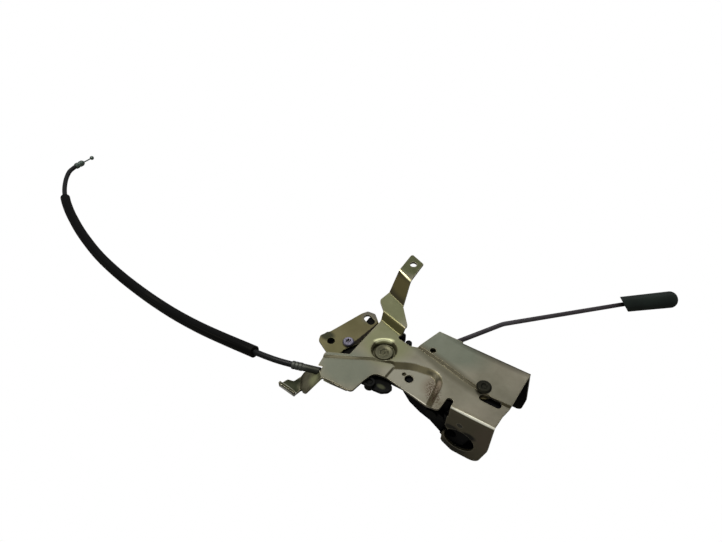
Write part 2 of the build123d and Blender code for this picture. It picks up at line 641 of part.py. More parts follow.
# Claw: an upper cam rim of constant radius, a striker slot and two jaws
CLAW_OPEN = -CLAW_THROW / 2 - 90
slot_seat = along(CLAW_PIVOT, CLAW_OPEN, abs(MOUTH[1] - CLAW_PIVOT[1]) / cos(radians(CLAW_THROW / 2)))
NOTCH_DEEP = 2.6
NOSE_REACH = CLAW_RIM + RUN_GAP + NOSE_RADIUS
NOSE_ANGLE = 180 + degrees(asin(NOSE_DROP / NOSE_REACH))
with BuildPart() as claw:
    with BuildSketch(upright(LATCH_BACK)):
        with BuildLine():
            FilletPolyline(
                (CLAW_PIVOT[0] - 7, CLAW_PIVOT[1] + 4), (CLAW_PIVOT[0] - 11.6, CLAW_PIVOT[1] - 12.4),
                (CLAW_PIVOT[0] - 10.4, CLAW_PIVOT[1] - 25.2), (CLAW_PIVOT[0] - 16.0, CLAW_PIVOT[1] - 25.6),
                (CLAW_PIVOT[0] - 14.0, CLAW_PIVOT[1] - 28.6), (CLAW_PIVOT[0] - 6.0, CLAW_PIVOT[1] - 30.8),
                (CLAW_PIVOT[0] + 4.2, CLAW_PIVOT[1] - 29.6), (CLAW_PIVOT[0] + 9.4, CLAW_PIVOT[1] - 14),
                (CLAW_PIVOT[0] + 9.0, CLAW_PIVOT[1] + 4),
                radius=[2, 1.2, 0.8, 1.0, 1.6, 6, 4, 6, 3], close=True)
        make_face()
        with Locations(CLAW_PIVOT):
            Circle(CLAW_RIM)
        # Striker slot, open to the left
        with BuildLine():
            Polyline((slot_seat[0], slot_seat[1] + STRIKER_SLOT / 2),
                     (slot_seat[0] - 30, slot_seat[1] + STRIKER_SLOT / 2),
                     (slot_seat[0] - 30, slot_seat[1] - STRIKER_SLOT / 2),
                     (slot_seat[0], slot_seat[1] - STRIKER_SLOT / 2), close=True)
        make_face(mode=Mode.SUBTRACT)
        with Locations(slot_seat):
            Circle(STRIKER_SLOT / 2, mode=Mode.SUBTRACT)
        # Detent that comes round to the pawl when the claw is closed
        detent = along(CLAW_PIVOT, NOSE_ANGLE - CLAW_THROW, CLAW_RIM)
        with Locations(Location(detent, NOSE_ANGLE - CLAW_THROW)):
            Rectangle(2 * NOTCH_DEEP, 4.6, mode=Mode.SUBTRACT)
        with Locations(CLAW_PIVOT):
            Circle(CLAW_PIN + PIN_PLAY, mode=Mode.SUBTRACT)
    extrude(amount=LATCH_THICK)
save(claw, "claw")

# Pawl: a bent arm with its nose 0.3 off the rim and a tail up to the link
nose = along(CLAW_PIVOT, NOSE_ANGLE, NOSE_REACH)
TAIL_TOP = LINK_TOP + 2.6
with BuildPart() as pawl:
    with BuildSketch(upright(LATCH_BACK)):
        with Locations(PAWL_PIVOT):
            Circle(6.0)
        with BuildLine():
            FilletPolyline(
                (PAWL_PIVOT[0] - 1, PAWL_PIVOT[1] + 5.6), (nose[0] + 0.8, nose[1] + 2.6),
                (nose[0] + 1.2, nose[1] - 2.4), (PAWL_PIVOT[0] - 1, PAWL_PIVOT[1] - 5.6),
                radius=[0, 1.2, 1.2, 0], close=True)
        make_face()
        with BuildLine():
            FilletPolyline(
                (PAWL_PIVOT[0] - TAIL_HALF, PAWL_PIVOT[1]), (PAWL_PIVOT[0] - TAIL_HALF, TAIL_TOP),
                (PAWL_PIVOT[0] + TAIL_HALF, TAIL_TOP), (PAWL_PIVOT[0] + TAIL_HALF, PAWL_PIVOT[1]),
                radius=[0, 1.5, 1.5, 0], close=True)
        make_face()
        with Locations(PAWL_PIVOT):
            Circle(PAWL_PIN + PIN_PLAY, mode=Mode.SUBTRACT)
        # The nose follows the rim at the running gap
        with Locations(CLAW_PIVOT):
            Circle(CLAW_RIM + RUN_GAP, mode=Mode.SUBTRACT)
    extrude(amount=LATCH_THICK)
save(pawl, "pawl")

# Case: a moulded block behind the latch, with a sloped lower edge, ribs, spring wells and a lug
CASE_FRONT = LATCH_BACK + CASE_GAP
CASE_BACK = CASE_FRONT + CASE_DEEP
CASE_TOP = -3.0
CASE_FOOT = -51.5
LUG_TOP = -2.4
LUG_THICK = 3.6
WELL_DEEP = 4.0
SHELF_TOP = -47.0
CASE_OUTLINE = [
    ((-6.0, CASE_TOP), 1), ((-6.0, -16.0), 3), ((2.3, -29.4), 4), ((12.0, -36.5), 5),
    ((21.5, -40.5), 4), ((32.0, -49.8), 4), ((39.0, CASE_FOOT), 3), ((60.0, CASE_FOOT), 6),
    ((68.4, -42.0), 6), ((70.2, -20.0), 4), ((70.2, CASE_TOP), 2),
]
with BuildPart() as lock_case:
    with BuildSketch(upright(CASE_FRONT)):
        with BuildLine():
            FilletPolyline(
                *[p for p, r in CASE_OUTLINE], radius=[r for p, r in CASE_OUTLINE], close=True)
        make_face()
    extrude(amount=-CASE_DEEP)
    # Lug under the deck for the case rivet, wide enough to close the deck's slot from below
    with BuildSketch(level(LUG_TOP)):
        with Locations((SLOT_CENTRE[0] - 3.4, (CASE_BACK + LOCK_PIVOT[1]) / 2)):
            RectangleRounded(27.5, LOCK_PIVOT[1] - CASE_BACK + 4, 1.5)
        with Locations(LOCK_PIVOT):
            Circle(8)
    extrude(amount=-LUG_THICK)
    # Shelf under the claw, behind the mouth's lower lip
    with BuildSketch(upright(CASE_FRONT)):
        with BuildLine():
            Polyline((34.5, SHELF_TOP), (62.6, SHELF_TOP), (60.4, CASE_FOOT + 1), (39.0, CASE_FOOT + 1),
                     (34.5, -49.5), close=True)
        make_face()
    extrude(amount=CASE_FRONT - FRONT_FACE - SHEET - RUN_GAP)
    # Open rear, ribbed inside
    with BuildSketch(upright(CASE_BACK)):
        with BuildLine():
            FilletPolyline(
                (-3.4, -7.0), (-3.4, -16.5), (4.5, -28.2), (13.4, -34.2), (22.6, -38.0), (33.2, -47.4),
                (39.0, -48.6), (59.0, -48.6), (65.6, -41.0), (67.4, -20.0), (67.4, -7.0),
                radius=1.5, close=True)
        make_face()
    extrude(amount=CASE_DEEP - 6.4, mode=Mode.SUBTRACT)
    with BuildSketch(upright(CASE_BACK)):
        with Locations(CLAW_PIVOT):
            Circle(8.0)
        with Locations(PAWL_PIVOT):
            Circle(6.5)
        for x, low in ((10.0, -37.0), (36.0, -50.0), (58.0, -50.0)):
            with BuildLine():
                Polyline((x, CASE_TOP - 2), (x + 1.6, CASE_TOP - 2), (x + 1.6, low), (x, low), close=True)
            make_face()
    extrude(amount=CASE_DEEP - 6.0)
    for pin_at, pin_radius, well in ((CLAW_PIVOT, CLAW_PIN, 8.4), (PAWL_PIVOT, PAWL_PIN, 6.9)):
        with BuildSketch(upright(CASE_FRONT)):
            with Locations(pin_at):
                Circle(well)
                Circle(pin_radius + 1.4, mode=Mode.SUBTRACT)
        extrude(amount=-WELL_DEEP, mode=Mode.SUBTRACT)
        with BuildSketch(upright(CASE_FRONT)):
            with Locations(pin_at):
                Circle(pin_radius + PIN_PLAY)
        extrude(amount=-CASE_DEEP, mode=Mode.SUBTRACT)
    with BuildSketch(level(LUG_TOP)):
        with Locations(LOCK_PIVOT):
            Circle(LOCK_SHANK + PIN_PLAY)
    extrude(amount=-LUG_THICK, mode=Mode.SUBTRACT)
save(lock_case, "lock_case")

# Rear cover: a steel sheet on the case's open side, held by two small screws
COVER_SCREWS = [(10.8, -12.0), (58.8, -12.0)]
with BuildPart() as case_cover:
    with BuildSketch(upright(CASE_BACK + COVER_THICK)):
        with BuildLine():
            FilletPolyline(
                (-5.0, -6.8), (-5.0, -15.6), (2.9, -28.8), (12.4, -35.4), (22.0, -39.4), (32.4, -48.8),
                (39.0, -50.4), (59.6, -50.4), (67.2, -41.8), (69.2, -20.0), (69.2, -6.8),
                radius=2, close=True)
        make_face()
        with Locations(*COVER_SCREWS):
            Circle(1.3, mode=Mode.SUBTRACT)
        with Locations(CLAW_PIVOT):
            Circle(CLAW_PIN + PIN_PLAY, mode=Mode.SUBTRACT)
        with Locations(PAWL_PIVOT):
            Circle(PAWL_PIN + PIN_PLAY, mode=Mode.SUBTRACT)
    extrude(amount=COVER_THICK)
save(case_cover, "case_cover")

with BuildPart() as cover_screws:
    for x, z in COVER_SCREWS:
        with BuildSketch(upright(CASE_BACK + COVER_THICK)):
            with Locations((x, z)):
                Circle(2.3)
        extrude(amount=-1.6)
        with BuildSketch(upright(CASE_BACK + COVER_THICK)):
            with Locations((x, z)):
                Circle(1.2)
        extrude(amount=COVER_THICK)
save(cover_screws, "cover_screws")

# Pins and springs of the latch
LATCH_FRONT = LATCH_BACK - LATCH_THICK
PIN_END = CASE_BACK + COVER_THICK
claw_pin = turned_pin(
    CLAW_PIVOT, [(FRONT_FACE, CLAW_PIN_TIP), (FRONT_FACE + SHEET, CLAW_PIN), (PIN_END, 0)])
save(claw_pin, "claw_pin")
pawl_pin = turned_pin(
    PAWL_PIVOT, [(LATCH_FRONT - RUN_GAP - 1.4, PAWL_PIN + 1.8), (LATCH_FRONT - RUN_GAP, PAWL_PIN),
                 (PIN_END, 0)])
save(pawl_pin, "pawl_pin")
claw_spring = torsion_spring(
    (CLAW_PIVOT[0], CASE_FRONT + 1.1, CLAW_PIVOT[1]), (0, 1, 0), 6.9, 1.2, 1.5, 0.5)
save(claw_spring, "claw_spring")
pawl_spring = torsion_spring(
    (PAWL_PIVOT[0], CASE_FRONT + 0.9, PAWL_PIVOT[1]), (0, 1, 0), 5.6, 1.0, 2.0, 0.4)
save(pawl_spring, "pawl_spring")

# Case rivet: dark domed head on the back portion, shank through the deck, the lever and the lug
CASE_RIVET_HEAD = 5.75
LUG_UNDER = LUG_TOP - LUG_THICK
with BuildPart() as case_rivet:
    with BuildSketch(Plane.XZ):
        with BuildLine():
            Polyline((0, LUG_UNDER - 2.0), (4.0, LUG_UNDER - 2.0), (4.9, LUG_UNDER - 1.0),
                     (4.9, LUG_UNDER), (LOCK_SHANK, LUG_UNDER), (LOCK_SHANK, BACK_TOP),
                     (CASE_RIVET_HEAD, BACK_TOP), (CASE_RIVET_HEAD, BACK_TOP + 0.5),
                     (CASE_RIVET_HEAD - 1.2, BACK_TOP + 1.6), (2.6, BACK_TOP + 1.6),
                     (1.6, BACK_TOP + 0.8), (0, BACK_TOP + 0.8), close=True)
        make_face()
    revolve(axis=Axis.Z)
case_rivet.part.move(Location((LOCK_PIVOT[0], LOCK_PIVOT[1], 0)))
save(case_rivet, "case_rivet")

# Stop block under the second plate: a deep part by the screw, a flange on to the hole and the slot
BLOCK_TOP = PLATE_TOP - SHEET
BLOCK_HIGH = 8.5
BLOCK_FLANGE = 4.5
BLOCK_PLAN = [
    ((-67.5, -4.2), 1.5), ((-80.8, 3.0), 2), ((-84.4, 8.4), 1.5), ((-82.8, 12.4), 1.5), ((-77.5, 13.0), 2),
    ((-64.0, 31.0), 4), ((-60.9, 37.0), 1.5), ((-60.9, 44.0), 1), ((-55.5, 44.0), 3), ((-52.4, 38.5), 2),
    ((-55.2, 15.0), 2), ((-60.0, 2.0), 2),
]
with BuildPart() as stop_block:
    with BuildSketch(level(BLOCK_TOP)):
        with BuildLine():
            FilletPolyline((-66.5, 16.0), (-67.5, -5.5), (-47.5, -5.5), (-46.8, 0.6), (-56.5, 13.8),
                           radius=3.0, close=True)
        make_face()
    extrude(amount=-BLOCK_HIGH)
    chamfer(faces().sort_by(Axis.Z)[0].edges(), 1.2)
    with BuildSketch(level(BLOCK_TOP)):
        with BuildLine():
            FilletPolyline(*[p for p, r in BLOCK_PLAN], radius=[r for p, r in BLOCK_PLAN], close=True)
        make_face()
    extrude(amount=-BLOCK_FLANGE)
    with BuildSketch(level(BLOCK_TOP)):
        with Locations(SCREW):
            Circle(SCREW_SHANK + PIN_PLAY)
    extrude(amount=-BLOCK_HIGH + 1.5, mode=Mode.SUBTRACT)
    with BuildSketch(level(BLOCK_TOP)):
        with Locations(PLATE_HOLE):
            Circle(PLATE_BORE / 2)
    extrude(amount=-BLOCK_FLANGE + 1.5, mode=Mode.SUBTRACT)
    with BuildSketch(level(BLOCK_TOP - BLOCK_HIGH)):
        with Locations((-58.5, -1.0)):
            RectangleRounded(10, 5, 1.0)
    extrude(amount=3.5, mode=Mode.SUBTRACT)
save(stop_block, "stop_block")

SCREW_TOP = PLATE_TOP + 2.0
with BuildPart() as plate_screw:
    with BuildSketch(Plane.XZ):
        with BuildLine():
            Polyline((0, BLOCK_TOP - BLOCK_HIGH + 2.0), (SCREW_SHANK - 0.6, BLOCK_TOP - BLOCK_HIGH + 2.0),
                     (SCREW_SHANK, BLOCK_TOP - BLOCK_HIGH + 2.8), (SCREW_SHANK, PLATE_TOP),
                     (SCREW_HEAD, PLATE_TOP), (SCREW_HEAD, SCREW_TOP - 1.0),
                     (SCREW_HEAD - 0.8, SCREW_TOP), (0, SCREW_TOP), close=True)
        make_face()
    revolve(axis=Axis.Z)
    # Six-lobed drive recess
    with BuildSketch(level(SCREW_TOP)):
        Circle(1.9)
        with PolarLocations(1.95, 6):
            Circle(0.7)
    extrude(amount=-1.6, mode=Mode.SUBTRACT)
plate_screw.part.move(Location((SCREW[0], SCREW[1], 0)))
save(plate_screw, "plate_screw")

# Ferrule: crimped left end over the sheath, plain body, small nose through which the wire leaves
SHEATH_SEAT = 10.0
with BuildPart() as cable_ferrule:
    with BuildSketch(Plane.XZ):
        with BuildLine():
            Polyline((SHEATH_RADIUS + 0.15, 0), (FERRULE_RADIUS - 0.3, 0), (FERRULE_RADIUS, 0.5),
                     (FERRULE_RADIUS, 2.2), (FERRULE_RADIUS - 0.4, 2.7), (FERRULE_RADIUS, 3.2),
                     (FERRULE_RADIUS, 5.2), (FERRULE_RADIUS - 0.4, 5.7), (FERRULE_RADIUS, 6.2),
                     (FERRULE_RADIUS, 8.4), (FERRULE_RADIUS - 0.35, 9.0),
                     (FERRULE_RADIUS - 0.35, FERRULE_LENGTH - 1.5),
                     (FERRULE_RADIUS - 1.0, FERRULE_LENGTH), (LINER_RADIUS, FERRULE_LENGTH),
                     (LINER_RADIUS, FERRULE_LENGTH + LINER_OUT),
                     (WIRE_RADIUS + 0.4, FERRULE_LENGTH + LINER_OUT),
                     (WIRE_RADIUS + 0.4, SHEATH_SEAT), (SHEATH_RADIUS + 0.15, SHEATH_SEAT), close=True)
        make_face()
    revolve(axis=Axis.Z)
cable_ferrule.part.move(FERRULE_PLANE.location)
save(cable_ferrule, "cable_ferrule")

# Inner wire at the lock: wire, crimped tube and barrel nipple
WIRE_HELD = 12.5
CRIMP_FROM = 9.6
wire_tail = NIPPLE_AT + WIRE_HELD
wire_plane = Plane(
    origin=(NIPPLE[0], NIPPLE[1], WIRE_LEVEL), x_dir=(0, 0, 1),
    z_dir=(-cos(radians(CABLE_ANGLE)), -sin(radians(CABLE_ANGLE)), 0))
with BuildPart() as inner_wire:
    with BuildSketch(wire_plane):
        Circle(WIRE_RADIUS)
    extrude(amount=wire_tail)
    with BuildSketch(wire_plane.offset(CRIMP_FROM)):
        Circle(1.2)
    extrude(amount=13.0)
    with BuildSketch(Plane(origin=(NIPPLE[0], NIPPLE[1], WIRE_LEVEL + 1.0))):
        Circle(NIPPLE_RADIUS)
    extrude(amount=-6.0)
save(inner_wire, "inner_wire")

# Cable: sheath, loose sleeve over most of it, end fitting and the far end of the wire with its ball
radii = arc_radii(CABLE_ROUTE)
print("cable radii", [round(r) for r in radii])


def tube(points, corner_radii, outer, inner=0.0):
    """A tube along a route of straight runs joined by tangent arcs, with its length."""
    with BuildPart() as piece:
        with BuildLine():
            path = FilletPolyline(*points, radius=corner_radii)
        with BuildSketch(Plane(origin=path @ 0, z_dir=path % 0)):
            Circle(outer)
            if inner:
                Circle(inner, mode=Mode.SUBTRACT)
        sweep(path=path)
    return piece, path.length


cable_sheath, sheath_length = tube(CABLE_ROUTE, radii, SHEATH_RADIUS)
print("sheath", round(sheath_length, 1), "volume", round(cable_sheath.part.volume), "section x length",
      round(pi * SHEATH_RADIUS**2 * sheath_length))
end_way = (Vector(*CABLE_ROUTE[-1]) - Vector(*CABLE_ROUTE[-2])).normalized()
end_plane = Plane(origin=CABLE_ROUTE[-1], x_dir=(0, 0, 1), z_dir=(end_way.X, end_way.Y, end_way.Z))
END_BORE = 6.3
with BuildPart() as sheath_bored:
    add(cable_sheath.part)
    with BuildSketch(end_plane):
        Circle(WIRE_RADIUS + 0.4)
    extrude(amount=-END_BORE, mode=Mode.SUBTRACT)
save(sheath_bored, "cable_sheath")

sleeve_route = [mid(CABLE_ROUTE[SLEEVED[0] - 1], CABLE_ROUTE[SLEEVED[0]]),
                *[CABLE_ROUTE[i] for i in SLEEVED],
                mid(CABLE_ROUTE[SLEEVED[-1]], CABLE_ROUTE[SLEEVED[-1] + 1])]
sleeve_radii = [radii[i - 1] for i in SLEEVED]
cable_sleeve, sleeve_length = tube(sleeve_route, sleeve_radii, SLEEVE_RADIUS, SLEEVE_BORE)
save(cable_sleeve, "cable_sleeve")
print("sleeve", round(sleeve_length, 1), "volume", round(cable_sleeve.part.volume), "section x length",
      round(pi * (SLEEVE_RADIUS**2 - SLEEVE_BORE**2) * sleeve_length))

FITTING_SEAT = 6.0
with BuildPart() as end_fitting:
    with BuildSketch(Plane.XZ):
        with BuildLine():
            Polyline((SHEATH_RADIUS + 0.15, 0), (FITTING_RADIUS - 0.7, 0), (FITTING_RADIUS, 0.8),
                     (FITTING_RADIUS, 4.0), (FITTING_RADIUS - 0.5, 4.6), (FITTING_RADIUS - 0.5, 5.4),
                     (FITTING_RADIUS, 6.0), (FITTING_RADIUS, FITTING_LENGTH - 2.0),
                     (FITTING_RADIUS - 1.4, FITTING_LENGTH), (WIRE_RADIUS + 0.4, FITTING_LENGTH),
                     (WIRE_RADIUS + 0.4, FITTING_SEAT), (SHEATH_RADIUS + 0.15, FITTING_SEAT), close=True)
        make_face()
    revolve(axis=Axis.Z)
end_fitting.part.move(end_plane.offset(-FITTING_SEAT).location)
save(end_fitting, "end_fitting")

BALL_AT = FITTING_LENGTH - FITTING_SEAT + 11.2
with BuildPart() as ball_end:
    with BuildSketch(end_plane.offset(BALL_AT)):
        Circle(WIRE_RADIUS)
    extrude(amount=-(BALL_AT - 2.0))
    with Locations(end_plane.offset(BALL_AT)):
        Sphere(BALL_RADIUS)
save(ball_end, "ball_end")

# Lock lever: a flat arm from the case rivet to the rod's eye
with BuildPart() as lock_lever:
    with BuildSketch(level(LOCK_TOP)):
        with Locations(LOCK_PIVOT):
            Circle(7.5)
        with Locations(ROD_EYE):
            Circle(4.6)
        with Locations((ROD_EYE[0] - 0.6, ROD_EYE[1] - 4.6)):
            Circle(5.2)
        with BuildLine():
            Polyline((LOCK_PIVOT[0] + 1.6, LOCK_PIVOT[1] + 7.2),
                     (LOCK_PIVOT[0] - 2.4, LOCK_PIVOT[1] - 7.0),
                     (ROD_EYE[0] - 1.6, ROD_EYE[1] - 4.2), (ROD_EYE[0] + 1.4, ROD_EYE[1] + 4.3), close=True)
        make_face()
        with Locations(LOCK_PIVOT):
            Circle(LOCK_SHANK + PIN_PLAY, mode=Mode.SUBTRACT)
        with Locations(ROD_EYE):
            Circle(ROD_RADIUS + PIN_PLAY, mode=Mode.SUBTRACT)
    extrude(amount=-LOCK_THICK)
save(lock_lever, "lock_lever")

# Lock rod: hooked up through the lever, down behind the bracket and out to the knob
KNOB_HOLD = 30.0
knob_inner = (*along(KNOB_START, KNOB_ANGLE, KNOB_HOLD), KNOB_START[2])
ROD_TIP = LOCK_TOP + 1.6
with BuildPart() as lock_rod:
    with BuildLine():
        rod_path = FilletPolyline(
            (*ROD_EYE, ROD_TIP), (*ROD_EYE, ROD_LEVEL), ROD_BEND, KNOB_START, knob_inner,
            radius=[2.6, 24, 14])
    with BuildSketch(Plane(origin=rod_path @ 0, z_dir=rod_path % 0)):
        Circle(ROD_RADIUS)
    sweep(path=rod_path)
save(lock_rod, "lock_rod")

with BuildPart() as rod_clip:
    with BuildSketch(level(LOCK_TOP + RUN_GAP)):
        with Locations(ROD_EYE):
            Circle(4.0)
            Circle(ROD_RADIUS + PIN_PLAY, mode=Mode.SUBTRACT)
        with Locations((ROD_EYE[0] + 3.2, ROD_EYE[1])):
            Rectangle(3.0, 1.4, mode=Mode.SUBTRACT)
    extrude(amount=1.0)
save(rod_clip, "rod_clip")

# Knob: a slim plastic grip, cut obliquely where the rod goes in and rounded at the far end
knob_plane = Plane(
    origin=KNOB_START, x_dir=(sin(radians(KNOB_ANGLE)), -cos(radians(KNOB_ANGLE)), 0),
    z_dir=(cos(radians(KNOB_ANGLE)), sin(radians(KNOB_ANGLE)), 0))
knob_cut = Plane(
    origin=Vector(*KNOB_START) + knob_plane.z_dir * 2,
    z_dir=knob_plane.z_dir * cos(radians(KNOB_CUT)) + Vector(0, 0, 1) * sin(radians(KNOB_CUT)))
with BuildPart() as rod_knob:
    with BuildSketch(knob_plane.offset(-4)):
        Circle(KNOB_RADIUS - 0.7)
    with BuildSketch(knob_plane.offset(KNOB_LENGTH)):
        Circle(KNOB_RADIUS)
    loft()
    fillet(faces().sort_by(Axis(knob_plane.origin, knob_plane.z_dir))[-1].edges(), 6.5)
    split(bisect_by=knob_cut, keep=Keep.TOP)
    with BuildSketch(knob_plane):
        Circle(ROD_RADIUS + PIN_PLAY)
    extrude(amount=KNOB_HOLD + 0.5, mode=Mode.SUBTRACT)
save(rod_knob, "rod_knob")
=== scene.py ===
"""Looks of the sliding door lock: finishes, the cable's sheath, floor, light and camera."""

import math

import bmesh
import bpy
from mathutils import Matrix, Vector


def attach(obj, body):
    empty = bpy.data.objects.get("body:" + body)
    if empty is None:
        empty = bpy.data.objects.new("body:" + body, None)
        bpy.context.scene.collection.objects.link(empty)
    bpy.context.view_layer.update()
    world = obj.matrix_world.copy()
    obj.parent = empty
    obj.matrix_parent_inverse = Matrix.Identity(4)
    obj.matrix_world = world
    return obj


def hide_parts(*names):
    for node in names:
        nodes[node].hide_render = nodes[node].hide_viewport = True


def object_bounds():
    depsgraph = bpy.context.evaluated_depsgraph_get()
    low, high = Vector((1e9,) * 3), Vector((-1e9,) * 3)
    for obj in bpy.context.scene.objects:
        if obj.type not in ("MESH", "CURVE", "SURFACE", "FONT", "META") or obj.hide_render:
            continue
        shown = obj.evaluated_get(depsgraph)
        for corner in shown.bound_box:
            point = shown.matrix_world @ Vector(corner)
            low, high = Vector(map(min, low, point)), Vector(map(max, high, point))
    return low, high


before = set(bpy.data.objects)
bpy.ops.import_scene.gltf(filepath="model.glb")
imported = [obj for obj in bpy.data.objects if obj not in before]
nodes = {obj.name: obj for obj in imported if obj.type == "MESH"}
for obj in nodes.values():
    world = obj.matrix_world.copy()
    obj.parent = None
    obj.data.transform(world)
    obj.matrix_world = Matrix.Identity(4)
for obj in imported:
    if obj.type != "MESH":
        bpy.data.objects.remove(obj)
CAD_BOX = [list(corner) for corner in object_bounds()]

MM = 0.001

# Camera: the photograph's angle, focal length and place
AZIMUTH = 31.3
ELEVATION = 46.0
LENS = 30.91
SENSOR = 36.0
CAMERA_AT = (108.6 * MM, -249.1 * MM, 397.4 * MM)

# Cable, with the route of part.py in metres. WELD joins doubled points, and CAP_FACING tells the end cap
SHEATH_RADIUS = 2.5 * MM
SHEATH_BORE = 1.15 * MM
SHEATH_BORE_DEPTH = 6.3 * MM
WELD = 0.001 * MM
CAP_FACING = 0.99
CABLE_ROUTE = [
    (-0.0760, -0.0311, -0.0032),
    (-0.0926, -0.0357, -0.0034),
    (-0.1117, -0.0372, -0.0058),
    (-0.1302, -0.0366, -0.0096),
    (-0.1535, -0.0352, -0.0157),
    (-0.1856, -0.0324, -0.0247),
    (-0.2233, -0.0274, -0.0345),
    (-0.2640, -0.0207, -0.0425),
    (-0.3110, -0.0124, -0.0473),
    (-0.3567, -0.0023, -0.0484),
    (-0.4013, 0.0133, -0.0485),
    (-0.4338, 0.0282, -0.0484),
    (-0.4530, 0.0388, -0.0486),
    (-0.4685, 0.0492, -0.0494),
    (-0.4826, 0.0612, -0.0506),
    (-0.4936, 0.0734, -0.0509),
    (-0.5006, 0.0856, -0.0509),
    (-0.4989, 0.0975, -0.0509),
]

# Floor and room, as everything but the camera sees them
FLOOR_SIZE = 6.0
FLOOR_GAP = 0.2 * MM
FLOOR_GREY = (0.24, 0.23, 0.21)
ROOM_GREY = (0.86, 0.88, 0.92)
ROOM_STRENGTH = 0.44
WHITE = (1.0, 1.0, 1.0)

# Noises of the finishes, in grains a metre
BLOTCHES = 30
SHIMMER = 14
SHADOW_AND_DIRT = 300
SHADOW_AND_DIRT_BORDER = 260
RUST_DOTS = 1000
SCRATCHES = 420
STEEL_GRAIN = 160
BLACK_TONE = 60

# Scratches run along X, and a streak's lane is counted over the normal's Z
SCRATCH_DRAW = (1.0, 9.0, 9.0)
STREAK_LANES = 7.0

# Reach of the rounded borders and of the painted shade in corners
SHADOW_AND_DIRT_SOFT = 0.5
SHADOW_AND_DIRT_RAGGED = 1.6
WALL_SOFT = 1.5 * MM
WEAR_AND_GLINT_REACH = 1.0 * MM
CORNER_REACH = 3.0 * MM

METALLIC = 0.85
WORN_AND_GLINT_GAIN = 2.6
BEVEL_SAMPLES = 4
CORNER_SAMPLES = 6

# Radians that a wave texture of scale 1 runs through in a metre
WAVE_RADIANS = 20

# Sockets of a colour mix
MIX_FACTOR = 0
MIX_A = 6
MIX_B = 7
MIX_RESULT = 2


# Materials
def srgb(r, g, b):
    """A colour of 0 to 255, as linear values."""
    return tuple(((c / 255 + 0.055) / 1.055) ** 2.4 if c > 10 else c / 255 / 12.92 for c in (r, g, b))


RUST = srgb(58, 36, 22)
CORNER_SHADE = (0.35, 0.33, 0.28)


def scaled(colour, share):
    """A colour with each value times a share."""
    return tuple(c * share for c in colour)


